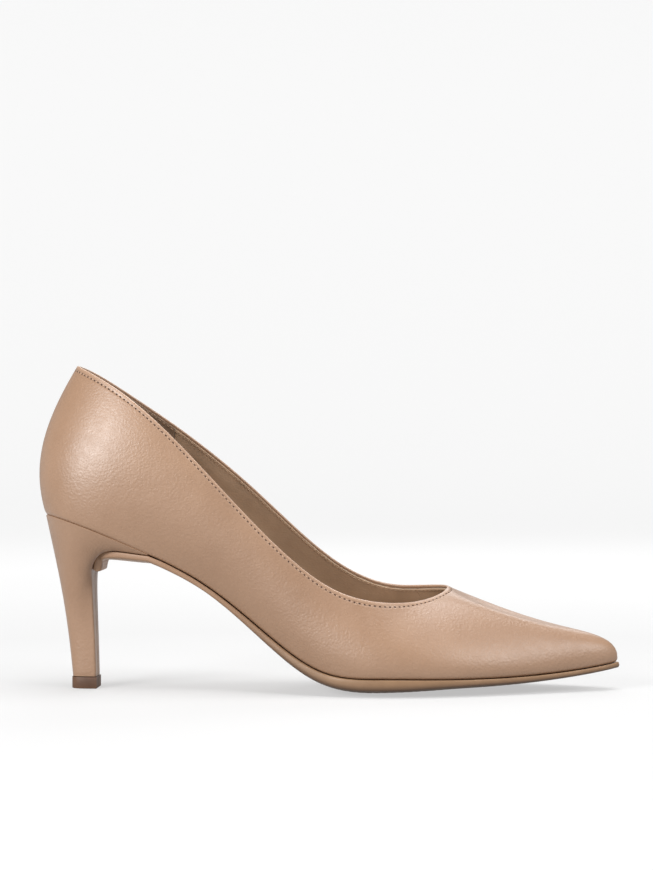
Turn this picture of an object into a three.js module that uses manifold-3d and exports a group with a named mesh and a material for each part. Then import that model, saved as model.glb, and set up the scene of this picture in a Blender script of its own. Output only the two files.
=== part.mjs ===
// A pointed court shoe (pump), right foot, on a 75 mm covered heel, in millimetres.
// +X points to the toe, +Y to the inner (medial) side of the foot, +Z up. The origin is on the floor, below
// the middle of the shoe. The upper, its linings and stiffeners are lasted over an insole board, with their
// edges turned in below it. The sole is cemented to that margin and ends in a flap on the breast of the heel.
import * as THREE from "three";
import { mergeVertices } from "three/addons/utils/BufferGeometryUtils.js";
import Module from "manifold-3d";

const wasm = await Module();
wasm.setup();

// ---------- driving dimensions ----------
const upperThickness = 1.0;
const tapeFrom = 1.25; // depths are measured in from the outside of the upper
const tapeTo = 1.42;
const stiffenerFrom = 1.25;
const stiffenerTo = 1.72;
const liningThickness = 0.7;
const liningDepthAtSides = 1.75;
const liningDepthOverStiffener = 2.2;
const lastingMargin = 9.5; // how far the upper turns in below the insole board
const toeMargin = 3.4;
const liningBelowTopline = 1.3;
const gap = 0.3; // between pieces that touch
const seatGap = 0.4; // between the heel and the turned-in upper, straight up
const soleGap = 0.4; // between the sole and the turned-in upper
const insoleBottom = 3.1; // heights are measured up from the underside of the turned-in upper
const insoleTop = 4.9;
const sockThickness = 0.8;
const edgeInset = 3.4; // from the outline of the upper to the edge of the insole board
const shankBottom = 1.7;
const shankTop = 2.85;
const shankHalfWidth = 5.5;
const shankFront = -8;
const shankRear = -100;
const topLiftHeight = 5;
const coverThickness = 0.7;
const blockInset = 0.95; // from the outside of the heel cover to the heel block
const flapEnd = 0.59; // how far down the breast the sole's flap reaches, as a share of the breast curve
const flapStartThickness = 2.4;
const flapThickness = 3.7;
const soleProud = 0.5; // how far the sole stands out past the outline

// ---------- the last ----------
// Closed rows of points from the heel's back, round the outer side, to the toe and back. Each row gives the
// feather edge, the wall's pull away from it, the wall's pull below the topline, and the topline.
const lastRows = [
  [[-124.3, 0, 76.6], [-6.3, 0, 21.4], [-15, 0, -24.8], [-110.2, 0, 140.6]],
  [[-117.5, -16.5, 75.2], [-4.5, -3.5, 21], [-9, -5, -23], [-103, -12.3, 137.2]],
  [[-101, -24, 69.9], [0, -4.5, 18], [-3, -6, -20], [-86.3, -21.5, 127.3]],
  [[-77, -23, 59.6], [0, -7, 15], [-1, -5, -16], [-65, -25.4, 108.9]],
  [[-52, -21.3, 46.2], [0, -8.5, 12], [0, -4, -13], [-40, -26.7, 82.7]],
  [[-27, -23.5, 26.9], [0, -8, 11], [0, -4, -12], [-18, -27.7, 60.7]],
  [[-2, -31, 10.6], [0, -6, 10], [0, -4, -11], [3, -29, 45.3]],
  [[24, -36.5, 8], [0, -4, 9], [0, -4.5, -9], [22.5, -27.9, 39.8]],
  [[54, -32, 7.7], [1, -3.5, 9], [3, -7, -6], [37.5, -19.3, 39.6]],
  [[85, -19, 8.1], [2, -3, 9], [9, -7, -3], [46.5, -11, 41.7]],
  [[112, -6, 10.4], [3, -2, 13.2], [22, -6, -11], [50.3, -5, 43.8]],
  [[124.6, 3, 12.4], [2.6, 0, 18.5], [33, 0.8, -22.3], [51.3, 1, 44.8]],
  [[112.5, 13, 10.4], [3, 2, 13.2], [22, 6.5, -11], [50.3, 7, 44.9]],
  [[87, 23, 8.1], [2, 3, 9], [9, 7.5, -4], [46.5, 13, 44.7]],
  [[57, 34.3, 7.7], [1, 3, 10], [3, 7, -6], [37.5, 21, 44.1]],
  [[26, 35.8, 8], [0, 4, 10], [0, 4.5, -9], [22.5, 28.6, 44.7]],
  [[-2, 27, 10.6], [0, 8, 13], [0, 4, -12], [3, 29.8, 53.2]],
  [[-27, 18, 26.9], [0, 12.5, 15], [0, 4, -15], [-18, 28, 70.4]],
  [[-52, 15.8, 46.2], [0, 13.5, 16], [0, 4, -16.5], [-40, 27, 90.8]],
  [[-77, 21, 59.6], [0, 9.5, 17], [-1, 5, -17], [-65, 26, 110.9]],
  [[-101, 24, 69.9], [0, 4.5, 18], [-3, 6, -20], [-86.3, 22, 125.8]],
  [[-117.5, 16.5, 75.2], [-4.5, 3.5, 21], [-9, 5, -23], [-103, 12.3, 136.9]],
];
const rowCount = lastRows.length;
const toeRow = rowCount / 2;

// Values along the foot, as [x, value] pairs from heel to toe.
const crownAlong = [
  [-125, 1.5], [-100, 2.5], [-60, 1.4], [-20, 2.4], [20, 3.6], [60, 3.1], [95, 1.6], [125, 0.3],
];
const soleAlong = [
  [-100, 2.4], [-72, 2.4], [-48, 2.2], [-22, 3.1], [-4, 4],
  [15, 4.7], [32, 4.4], [58, 2.9], [85, 2.4], [125, 2.1],
];
const padAlong = [
  [-125, 2.1], [-85, 2.1], [-62, 0.3], [-20, 0.3], [2, 2.1], [50, 2.1], [75, 0.3], [125, 0.3],
];

// ---------- heel ----------
const heelAxisX = -106.6; // centre of the top lift
const wingTip = 3.02; // the last row where the heel's wing runs out on the sole
const soleLeavesUpper = 3.25; // behind this row the sole turns down onto the breast
const heelFoot = { halfWidth: 6.1, back: 5.6, front: 5.2, squareness: 0.85 }; // from the heel's axis
const topLiftProud = 0.35;
const breastPull = { x: -108.9, z: 62 }; // the curve's corner behind the seat, at the breast's edges
const breastLow = { x: -102.7, z: 67.3 }; // where the breast turns straight down
const backPull = { x: 4.6, z: 22, y: 0.9, breastY: 0.52 }; // the same corners at the heel's back
const backLow = { x: -3.2, z: 38, y: 1.15 };
const tubeRadius = 2.5;
const tubeWall = 0.9;
const tubeTop = 47;
const pinRadius = 1.25;
const pinTop = 20;

const screw = { x: -108, y: 0, shaft: 1.7, head: 3.2, headHeight: 1, length: 21 };
const nails = { shaft: 0.8, head: 1.8, headHeight: 0.7, length: 13 };
const nailPlaces = [[-110, -6.5], [-110, 6.5], [-101, -9], [-101, 9]];
const rivets = { shaft: 1.2, head: 2.5, headHeight: 0.8, below: 0.7 };
const frontRivetX = -18;
const rearRivetX = -90;
const bore = 0.3; // round a fastener
const headSunk = 0.1; // below the top of the insole board
const tipTaper = { length: 2, radius: 0.4 }; // a screw's or nail's point, as a share of its shaft
const cutPast = 1; // how far a cutting tool runs past the surface that it opens

const colours = {
  leather: 0xc9a183,
  lining: 0xa58d75,
  grip: 0x9c7b62,
  board: 0xb9a184,
  foam: 0xd9cdb4,
  steel: 0xa9abad,
  sole: 0xc49a70,
  cork: 0x8f6f4e,
  plastic: 0xd8d2c6,
  lift: 0x6f4f3b,
};

// ---------- curves ----------
// Control points of the closed cubic spline that passes through the given points.
function splineThrough(points) {
  const net = points.map((p) => p.clone());
  const count = points.length;
  for (let pass = 0; pass < 40; pass++) {
    for (let i = 0; i < count; i++) {
      const sides = net[(i + count - 1) % count].clone().add(net[(i + 1) % count]);
      net[i] = points[i].clone().multiplyScalar(6).sub(sides).divideScalar(4);
    }
  }
  return net;
}

function onSpline(net, around) {
  const count = net.length;
  const row = Math.floor(around);
  const t = around - row;
  const near = 3 * t ** 3 - 6 * t ** 2 + 4;
  const next = -3 * t ** 3 + 3 * t ** 2 + 3 * t + 1;
  const weights = [(1 - t) ** 3, near, next, t ** 3];
  const point = new THREE.Vector3();
  weights.forEach((weight, k) => {
    point.addScaledVector(net[(((row + k - 1) % count) + count) % count], weight / 6);
  });
  return point;
}

// A smooth curve through [x, value] pairs.
function along(table, x) {
  const last = table.length - 1;
  if (x <= table[0][0]) return table[0][1];
  if (x >= table[last][0]) return table[last][1];
  const i = table.findIndex((pair) => pair[0] > x) - 1;
  const slope = (k) => {
    const before = table[Math.max(k - 1, 0)];
    const after = table[Math.min(k + 1, last)];
    return (after[1] - before[1]) / (after[0] - before[0]);
  };
  const width = table[i + 1][0] - table[i][0];
  const t = (x - table[i][0]) / width;
  const h = [(1 + 2 * t) * (1 - t) ** 2, t * (1 - t) ** 2, t * t * (3 - 2 * t), t * t * (t - 1)];
  return h[0] * table[i][1] + h[1] * width * slope(i) + h[2] * table[i + 1][1] + h[3] * width * slope(i + 1);
}

const at = (xyz) => new THREE.Vector3(...xyz);
const feather = splineThrough(lastRows.map((row) => at(row[0])));
const lowWall = splineThrough(lastRows.map((row) => at(row[0]).add(at(row[1]))));
const highWall = splineThrough(lastRows.map((row) => at(row[3]).add(at(row[2]))));
const topline = splineThrough(lastRows.map((row) => at(row[3])));

// A point on the outside of the upper: around counts rows of the last, and up runs from 0 at the feather edge
// to 1 at the topline.
function wall(around, up) {
  const corners = [feather, lowWall, highWall, topline].map((net) => onSpline(net, around));
  return new THREE.CubicBezierCurve3(...corners).getPoint(up);
}

function outward(around, up) {
  const step = 0.02;
  const low = Math.max(up - step, 0);
  const high = Math.min(up + step, 1);
  const round = wall(around + step, up).sub(wall(around - step, up));
  const rise = wall(around, high).sub(wall(around, low));
  return round.cross(rise).normalize();
}

function wallPoint(around, up, depth) {
  return wall(around, up).addScaledVector(outward(around, up), -depth);
}

// How far up the wall lies the given distance below the topline.
function upBelowTopline(around, distance) {
  const steps = 100;
  let walked = 0;
  for (let i = steps; i > 0; i--) {
    const length = wall(around, i / steps).distanceTo(wall(around, (i - 1) / steps));
    if (walked + length > distance) return (i - (distance - walked) / length) / steps;
    walked += length;
  }
  return 0;
}

// ---------- the bottom of the last ----------
// Points round the outline, and the index of its toe, half way round.
const outline = [];
const outlineToe = 110;
for (let i = 0; i <= 2 * outlineToe; i++) outline.push(onSpline(feather, (i / outlineToe) * toeRow));

// The feather edge's point at x, on the outer half of the outline, or on the inner half.
function edgeAt(x, inner) {
  const from = inner ? outlineToe : 0;
  for (let i = from; i < from + outlineToe; i++) {
    const [a, b] = [outline[i], outline[i + 1]];
    if ((a.x - x) * (b.x - x) <= 0 && a.x !== b.x) return a.clone().lerp(b, (x - a.x) / (b.x - a.x));
  }
  return x < 0 ? outline[0].clone() : outline[outlineToe].clone();
}

function bottomHeight(x, y) {
  const outer = edgeAt(x, false);
  const inner = edgeAt(x, true);
  const width = inner.y - outer.y;
  const t = width > 1 ? THREE.MathUtils.clamp((y - outer.y) / width, 0, 1) : 0;
  return THREE.MathUtils.lerp(outer.z, inner.z, t) - 4 * along(crownAlong, x) * t * (1 - t);
}

// Square to the bottom of the last, along the foot.
function upAt(x, y) {
  const slope = (bottomHeight(x + 1, y) - bottomHeight(x - 1, y)) / 2;
  return new THREE.Vector3(-slope, 0, 1).normalize();
}

function raised(x, y, height) {
  return new THREE.Vector3(x, y, bottomHeight(x, y)).addScaledVector(upAt(x, y), height);
}

// The outline moved inwards, level with the floor.
function insetEdge(around, inset) {
  const step = 0.05;
  const point = onSpline(feather, around);
  const run = onSpline(feather, around + step).sub(onSpline(feather, around - step));
  return point.addScaledVector(new THREE.Vector3(-run.y, run.x, 0).normalize(), inset);
}

const middleY = (x) => (edgeAt(x, false).y + edgeAt(x, true).y) / 2;

// ---------- solids ----------
function solidFrom(triangles) {
  const flat = new THREE.BufferGeometry();
  const coordinates = triangles.flatMap((p) => [p.x, p.y, p.z]);
  flat.setAttribute("position", new THREE.Float32BufferAttribute(coordinates, 3));
  const merged = mergeVertices(flat, 1e-3);
  const corners = merged.index.array;
  const kept = [];
  for (let i = 0; i < corners.length; i += 3) {
    const [a, b, c] = corners.slice(i, i + 3);
    if (a !== b && b !== c && a !== c) kept.push(a, b, c);
  }
  merged.setIndex(kept);
  return merged;
}

// The triangles of a grid of points, facing along rows x columns, or the other way.
function sheet(list, grid, facesBack = false) {
  for (let i = 0; i < grid.length - 1; i++) {
    for (let j = 0; j < grid[i].length - 1; j++) {
      const [a, b, c, d] = [grid[i][j], grid[i + 1][j], grid[i + 1][j + 1], grid[i][j + 1]];
      if (facesBack) list.push(a, c, b, a, d, c);
      else list.push(a, b, c, a, c, d);
    }
  }
}

// A closed solid between two grids of points with the same rows and columns. A wrapped one has no end rows.
function between(front, back, wrap = false) {
  const triangles = [];
  const close = (grid) => (wrap ? [...grid, grid[0]] : grid);
  const outer = close(front);
  const inner = close(back);
  const last = outer[0].length - 1;
  sheet(triangles, outer);
  sheet(triangles, inner, true);
  sheet(triangles, [outer.map((row) => row[0]), inner.map((row) => row[0])]);
  sheet(triangles, [inner.map((row) => row[last]), outer.map((row) => row[last])]);
  if (!wrap) {
    sheet(triangles, [inner[0], outer[0]]);
    sheet(triangles, [outer[outer.length - 1], inner[inner.length - 1]]);
  }
  return solidFrom(triangles);
}

function steps(from, to, count) {
  return Array.from({ length: count + 1 }, (_, i) => from + ((to - from) * i) / count);
}

const ease = (t) => THREE.MathUtils.smoothstep(t, 0, 1);

function toManifold(geometry) {
  const bare = geometry.clone();
  bare.deleteAttribute("normal");
  bare.deleteAttribute("uv");
  const merged = mergeVertices(bare, 1e-4);
  const vertProperties = Float32Array.from(merged.attributes.position.array);
  const triVerts = Uint32Array.from(merged.index.array);
  return new wasm.Manifold(new wasm.Mesh({ numProp: 3, vertProperties, triVerts }));
}

function toGeometry(manifold) {
  const mesh = manifold.getMesh();
  const geometry = new THREE.BufferGeometry();
  geometry.setAttribute("position", new THREE.Float32BufferAttribute(mesh.vertProperties, 3));
  geometry.setIndex([...mesh.triVerts]);
  return geometry;
}

function cut(geometry, ...tools) {
  return toGeometry(tools.reduce((left, tool) => left.subtract(toManifold(tool)), toManifold(geometry)));
}

// A turned piece whose axis starts at a point and runs along a direction, from [radius, distance] pairs.
function turned(profile, start, direction, sides = 16) {
  const lathe = new THREE.LatheGeometry(profile.map(([r, h]) => new THREE.Vector2(r, h)), sides);
  const turn = new THREE.Quaternion().setFromUnitVectors(new THREE.Vector3(0, 1, 0), direction);
  return lathe.applyQuaternion(turn).translate(start.x, start.y, start.z);
}

// ---------- pieces lasted with the upper ----------
function marginAt(around) {
  return THREE.MathUtils.lerp(lastingMargin, toeMargin, ease((onSpline(feather, around).x - 80) / 45));
}

// Every lasted piece has its columns and its levels at the same places, so that the layers stay parallel.
const columnsPerRow = 2.5;
const wallLevels = [0, 0.14, 0.26, 0.4, 0.55, 0.7, 0.84, 0.93, 0.97, 1];
const levelBelow = (up) => wallLevels.filter((level) => level <= up).at(-1);

function columnsBetween(from, to) {
  if (to - from === rowCount) return steps(from, to, rowCount * columnsPerRow).slice(0, -1);
  const inside = [];
  for (let k = Math.ceil((from + 0.1) * columnsPerRow); k <= (to - 0.1) * columnsPerRow; k++) {
    inside.push(k / columnsPerRow);
  }
  return [from, ...inside, to];
}

// One column of a lasted piece: in from the edge of its margin, round the feather edge and up the wall.
function lastedColumn(around, depth, high) {
  const nearest = depth + 0.2;
  const margin = Math.max(marginAt(around), nearest + 0.4);
  const points = [0, 0.5, 1].map((t) => {
    const edge = insetEdge(around, THREE.MathUtils.lerp(margin, nearest, t));
    return raised(edge.x, edge.y, depth);
  });
  const corner = insetEdge(around, depth);
  corner.z += depth;
  points.push(corner);
  for (const level of wallLevels.slice(1)) points.push(wallPoint(around, Math.min(level, high), depth));
  return points;
}

// A piece lasted with the upper. Its depth is how far it lies in from the upper's outside.
function lasted({ from, to, depth, thickness, high = () => 1 }) {
  const grid = (extra) =>
    columnsBetween(from, to).map((around) => lastedColumn(around, depth(around) + extra, high(around)));
  return between(grid(0), grid(thickness), to - from === rowCount);
}

// A band right round the wall, between two distances below the topline.
function topBand({ depth, thickness, top, bottom }) {
  const grid = (extra) =>
    columnsBetween(0, rowCount).map((around) =>
      [bottom, top].map((drop) => wallPoint(around, upBelowTopline(around, drop), depth + extra)),
    );
  return between(grid(0), grid(thickness), true);
}

function rowsFromBack(around) {
  const row = ((around % rowCount) + rowCount) % rowCount;
  return Math.min(row, rowCount - row);
}

// The lining lies deeper where the counter or the toe puff is behind it.
function liningDepth(around) {
  const fromBack = rowsFromBack(around);
  const overCounter = 1 - ease((fromBack - 3.5) / 1);
  const overPuff = ease((fromBack - toeRow + 4) / 1);
  return THREE.MathUtils.lerp(liningDepthAtSides, liningDepthOverStiffener, Math.max(overCounter, overPuff));
}

function lining(from, to) {
  const high = (around) => upBelowTopline(around, liningBelowTopline);
  return lasted({ from, to, depth: liningDepth, thickness: liningThickness, high });
}

// ---------- pieces across the bottom ----------
// A plate that follows the bottom of the last, from the row nearer the toe to the row nearer the heel.
function plate({ from, to, columns, inset, low, high }) {
  const grid = (height) =>
    columnsBetween(to, from).reverse().map((row) => {
      const outer = insetEdge(row, inset(row));
      const inner = insetEdge(rowCount - row, inset(row));
      return steps(0, 1, columns).map((t) => {
        const point = outer.clone().lerp(inner, t);
        return raised(point.x, point.y, height(point.x));
      });
    });
  return between(grid(low), grid(high));
}

const pad = (x) => along(padAlong, x);

function cushion(from, to) {
  return plate({
    from,
    to,
    columns: 6,
    inset: () => edgeInset + 2,
    low: () => insoleTop + gap,
    high: (x) => insoleTop + pad(x),
  });
}

function board(from, to) {
  const inset = () => edgeInset;
  return plate({ from, to, columns: 6, inset, low: () => insoleBottom, high: () => insoleTop });
}

function steelShank() {
  const grid = (height) =>
    steps(shankFront, shankRear, 18).map((x) => {
      const toEnd = Math.min(shankFront - x, x - shankRear);
      const round = Math.min(1, Math.sqrt((toEnd + 1.5) / 6)); // its ends are narrower
      return steps(-1, 1, 4).map((side) => raised(x, middleY(x) + side * round * shankHalfWidth, height));
    });
  return between(grid(shankBottom), grid(shankTop));
}

// A headed fastener driven down through the board, or the wider hole that it needs.
function driven({ x, y, shaft, head, headHeight, length, clearance = 0 }) {
  const end = length + (clearance ? cutPast : 0);
  const profile = [
    [0, -clearance],
    [shaft * tipTaper.radius + clearance, 0],
    [shaft + clearance, tipTaper.length],
    [shaft + clearance, length - headHeight - clearance],
    [head + clearance, length - headHeight - clearance],
    [head + clearance, end],
    [0, end],
  ];
  return turned(profile, raised(x, y, insoleTop - headSunk - length), upAt(x, y));
}

function rivet(x, clearance = 0) {
  const y = middleY(x);
  const neck = rivets.below + rivets.headHeight + (clearance ? 0.1 : 0);
  const stop = insoleTop - 2 * headSunk + (clearance ? cutPast : 0);
  const profile = [
    [0, rivets.below - clearance],
    [rivets.head + clearance, rivets.below - clearance],
    [rivets.head + clearance, neck],
    [rivets.shaft + clearance, neck],
    [rivets.shaft + clearance, stop],
    [0, stop],
  ];
  return turned(profile, raised(x, y, 0), upAt(x, y));
}

// ---------- heel ----------
// Shrink is how far a surface of the heel lies inside the outside of its cover.
function heelFootPoint(turn, shrink) {
  const angle = (turn * Math.PI) / 2; // 0 at the back, a quarter turn at the breast's edges
  const { back, front, halfWidth, squareness } = heelFoot;
  const x = -(back - shrink) * Math.cos(angle) ** squareness;
  const y = -Math.sign(turn) * (halfWidth - shrink) * Math.sin(Math.abs(angle)) ** squareness;
  return new THREE.Vector2(heelAxisX + x + Math.abs(turn) ** 6 * (front - shrink), y);
}

// A point on the heel: turn runs from -1 to 1 round its back, and down runs from the seat to its foot.
function heelWall(turn, down, shrink) {
  const side = Math.abs(turn);
  const row = turn * (wingTip - 0.6 * shrink);
  const top = insetEdge(row, 0.4 + shrink);
  top.z = bottomHeight(top.x, top.y) - seatGap;
  const foot = heelFootPoint(turn, shrink);
  const high = new THREE.Vector3(
    THREE.MathUtils.lerp(top.x + backPull.x, breastPull.x + 7.1 * shrink, side ** 1.6),
    top.y * THREE.MathUtils.lerp(backPull.y, backPull.breastY, side ** 2),
    THREE.MathUtils.lerp(top.z - backPull.z, breastPull.z - 9.3 * shrink, side ** 1.6),
  );
  const low = new THREE.Vector3(
    THREE.MathUtils.lerp(foot.x + backLow.x, breastLow.x - 3.4 * shrink, side ** 3),
    foot.y * backLow.y,
    THREE.MathUtils.lerp(backLow.z, breastLow.z + 11.7 * shrink, side ** 1.6),
  );
  const end = new THREE.Vector3(foot.x, foot.y, topLiftHeight + gap);
  return new THREE.CubicBezierCurve3(top, high, low, end).getPoint(down);
}

// A point on the heel's breast, from its inner edge at 0 to its outer edge at 1.
function breastAt(down, across, shrink) {
  const point = heelWall(-1, down, shrink).lerp(heelWall(1, down, shrink), across);
  point.z -= 4 * across * (1 - across) * along(crownAlong, point.x) * (1 - ease(down / flapEnd));
  return point;
}

function breastNormal(down) {
  const run = breastAt(Math.min(down + 0.01, 1), 0.5, 0).sub(breastAt(Math.max(down - 0.01, 0), 0.5, 0));
  return new THREE.Vector3(-run.z, 0, run.x).normalize(); // out of the heel, towards the waist
}

// The whole heel as one closed solid. A reach makes it longer at the seat and at the foot.
function heelSolid(shrink, reach = 0) {
  const turns = steps(-1, 1, 26);
  const across = steps(0, 1, 6);
  const downs = steps(0, 1, 20);
  const extend = (column) => {
    if (!reach) return column;
    const lift = new THREE.Vector3(0, 0, reach);
    return [column[0].clone().add(lift), ...column, column[column.length - 1].clone().sub(lift)];
  };
  const walls = turns.map((turn) => extend(downs.map((down) => heelWall(turn, down, shrink))));
  const front = across.map((t) => extend(downs.map((down) => breastAt(down, t, shrink))));
  const half = (turns.length - 1) / 2;
  const cap = (end, level) =>
    steps(0, half, half).map((i) => {
      const [inner, outer] = [walls[half - i].at(end), walls[half + i].at(end)];
      if (i === half) return front.map((column) => column.at(end));
      return across.map((t) => {
        const point = inner.clone().lerp(outer, t);
        if (level && t > 0 && t < 1) point.z = bottomHeight(point.x, point.y) - seatGap + reach;
        return point;
      });
    });
  const triangles = [];
  sheet(triangles, walls, true);
  sheet(triangles, front);
  sheet(triangles, cap(0, true), true);
  sheet(triangles, cap(-1, false));
  return solidFrom(triangles);
}

function topLift() {
  const shape = new THREE.Shape(steps(-1, 1, 26).map((turn) => heelFootPoint(turn, -topLiftProud)));
  return new THREE.ExtrudeGeometry(shape, { depth: topLiftHeight, bevelEnabled: false });
}

function cylinder(radius, from, to, sides = 24) {
  const profile = [[0, from], [radius, from], [radius, to], [0, to]];
  const axis = new THREE.Vector3(heelAxisX, 0, 0);
  return turned(profile, axis, new THREE.Vector3(0, 0, 1), sides);
}

function dowel() {
  const inner = tubeRadius - tubeWall;
  const bottom = topLiftHeight + gap;
  const profile = [
    [inner, bottom], [tubeRadius, bottom], [tubeRadius, tubeTop], [inner, tubeTop], [inner, bottom],
  ];
  return turned(profile, new THREE.Vector3(heelAxisX, 0, 0), new THREE.Vector3(0, 0, 1), 24);
}

// ---------- outsole ----------
function outsole() {
  const columns = steps(0, 1, 10);
  const top = [];
  const bottom = [];
  for (const row of columnsBetween(soleLeavesUpper, toeRow).reverse()) {
    const outer = insetEdge(row, -soleProud);
    const inner = insetEdge(rowCount - row, -soleProud);
    const points = columns.map((t) => outer.clone().lerp(inner, t));
    top.push(points.map(({ x, y }) => raised(x, y, -soleGap)));
    bottom.push(
      points.map(({ x, y }) => {
        const tread = raised(x, y, -soleGap - along(soleAlong, x));
        tread.z = Math.max(tread.z, 0);
        return tread;
      }),
    );
  }
  for (const down of steps(0, flapEnd, 14)) {
    const normal = breastNormal(down);
    const thickness = THREE.MathUtils.lerp(flapStartThickness, flapThickness, ease(down / flapEnd));
    const flap = (away) => columns.map((t) => breastAt(down, 1 - t, 0).addScaledVector(normal, away));
    top.push(flap(gap));
    bottom.push(flap(gap + thickness));
  }
  return between(bottom, top);
}

// ---------- the shoe ----------
const pieces = new THREE.Group();

function add(name, geometry, colour, roughness = 0.6, metalness = 0) {
  const material = new THREE.MeshStandardMaterial({ color: colour, roughness, metalness });
  const mesh = new THREE.Mesh(geometry, material);
  mesh.name = name;
  pieces.add(mesh);
}

add(
  "upper",
  lasted({ from: 0, to: rowCount, depth: () => 0, thickness: upperThickness }),
  colours.leather,
  0.45,
);
add(
  "topline_tape",
  topBand({ depth: tapeFrom, thickness: tapeTo - tapeFrom, top: 1.5, bottom: 6 }),
  colours.foam,
);
add("vamp_lining", lining(8.03, 13.97), colours.lining);
add("outer_quarter_lining", lining(2.81, 7.97), colours.lining);
add("inner_quarter_lining", lining(14.03, 19.19), colours.lining);
add("heel_grip", lining(-2.75, 2.75), colours.grip, 0.9);

const stiffener = { depth: () => stiffenerFrom, thickness: stiffenerTo - stiffenerFrom };
add(
  "toe_puff",
  lasted({
    ...stiffener,
    from: 8.8,
    to: 13.2,
    high: (around) => levelBelow(THREE.MathUtils.lerp(0.56, 0.15, ease(Math.abs(around - toeRow) / 2.5))),
  }),
  colours.board,
);
add(
  "heel_counter",
  lasted({
    ...stiffener,
    from: -3.2,
    to: 3.2,
    high: (around) => levelBelow(THREE.MathUtils.lerp(0.85, 0.28, ease(Math.abs(around) / 3.3))),
  }),
  colours.board,
);

const holeFor = (place) => driven({ ...place, clearance: bore });
const screwHole = holeFor(screw);
const nailHoles = nailPlaces.map(([x, y]) => holeFor({ ...nails, x, y }));
add("forepart_insole", board(10.5, 5.62), colours.board, 0.9);
add(
  "shank_board",
  cut(board(5.58, 0), screwHole, ...nailHoles, rivet(frontRivetX, bore), rivet(rearRivetX, bore)),
  colours.board,
  0.9,
);
add(
  "steel_shank",
  cut(steelShank(), rivet(frontRivetX, bore), rivet(rearRivetX, bore)),
  colours.steel,
  0.35,
  1,
);
add("front_shank_rivet", rivet(frontRivetX), colours.steel, 0.4, 1);
add("rear_shank_rivet", rivet(rearRivetX), colours.steel, 0.4, 1);
add("ball_cushion", cushion(8.3, 5.7), colours.foam, 0.95);
add("heel_cushion", cushion(2.9, 0.7), colours.foam, 0.95);
add(
  "sock_lining",
  plate({
    from: 10.1,
    to: 0,
    columns: 6,
    inset: () => edgeInset + 0.5,
    low: (x) => insoleTop + gap + pad(x),
    high: (x) => insoleTop + gap + pad(x) + sockThickness,
  }),
  colours.lining,
);
add(
  "bottom_filler",
  cut(
    plate({
      from: 9.6,
      to: 3.3,
      columns: 6,
      inset: (row) => marginAt(row) + 1,
      low: () => 0.1,
      high: (x) => along([[-75, 1.3], [-5, 1.3], [6, 2.8], [125, 2.8]], x),
    }),
    rivet(frontRivetX, bore),
  ),
  colours.cork,
  0.95,
);
add("outsole", outsole(), colours.sole, 0.5);

add("heel_cover", cut(heelSolid(0), heelSolid(coverThickness, 4)), colours.leather, 0.4);
const tubeHole = cylinder(tubeRadius + bore, -2, tubeTop + bore);
add("heel_block", cut(heelSolid(blockInset), tubeHole, screwHole, ...nailHoles), colours.plastic, 0.5);
add("heel_dowel", dowel(), colours.steel, 0.35, 1);
add("top_lift", cut(topLift(), cylinder(pinRadius + bore, 1.5, topLiftHeight + 1)), colours.lift, 0.6);
add("top_lift_pin", cylinder(pinRadius, 1.8, pinTop), colours.steel, 0.35, 1);
add("heel_screw", driven(screw), colours.steel, 0.35, 1);
nailPlaces.forEach(([x, y], i) => {
  add(`heel_nail_${i + 1}`, driven({ ...nails, x, y }), colours.steel, 0.35, 1);
});

export default pieces;
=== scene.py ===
import math
import bpy
import bmesh
import numpy as np
from mathutils import Matrix, Vector, noise


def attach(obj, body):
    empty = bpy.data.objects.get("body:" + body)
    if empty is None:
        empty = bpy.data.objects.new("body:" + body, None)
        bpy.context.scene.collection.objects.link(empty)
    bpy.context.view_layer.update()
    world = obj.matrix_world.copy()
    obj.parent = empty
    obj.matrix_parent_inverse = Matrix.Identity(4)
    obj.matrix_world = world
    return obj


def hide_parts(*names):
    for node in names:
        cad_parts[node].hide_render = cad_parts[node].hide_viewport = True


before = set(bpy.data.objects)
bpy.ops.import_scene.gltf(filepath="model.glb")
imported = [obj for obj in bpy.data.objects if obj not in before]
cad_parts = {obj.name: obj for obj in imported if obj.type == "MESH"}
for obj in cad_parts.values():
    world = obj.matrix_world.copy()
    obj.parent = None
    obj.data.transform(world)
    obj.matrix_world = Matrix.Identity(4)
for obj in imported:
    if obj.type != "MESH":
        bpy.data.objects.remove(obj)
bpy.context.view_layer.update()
mm = 0.001

# The camera, the floor and the light.

camera = {"target": (-1.4, 0, 110), "azimuth": 3, "distance": 1000, "lens": 95.06}


def makeCamera():
    turn = math.radians(camera["azimuth"])
    back = Vector((math.sin(turn), -math.cos(turn), 0))
    place = (Vector(camera["target"]) + back * camera["distance"]) * mm
    bpy.ops.object.camera_add(location=place, rotation=(math.pi / 2, 0, turn))
    eye = bpy.context.object
    eye.name = "camera"
    eye.data.lens = camera["lens"]
    eye.data.sensor_width = 36
    eye.data.clip_start = 0.01
    bpy.context.scene.camera = eye


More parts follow.
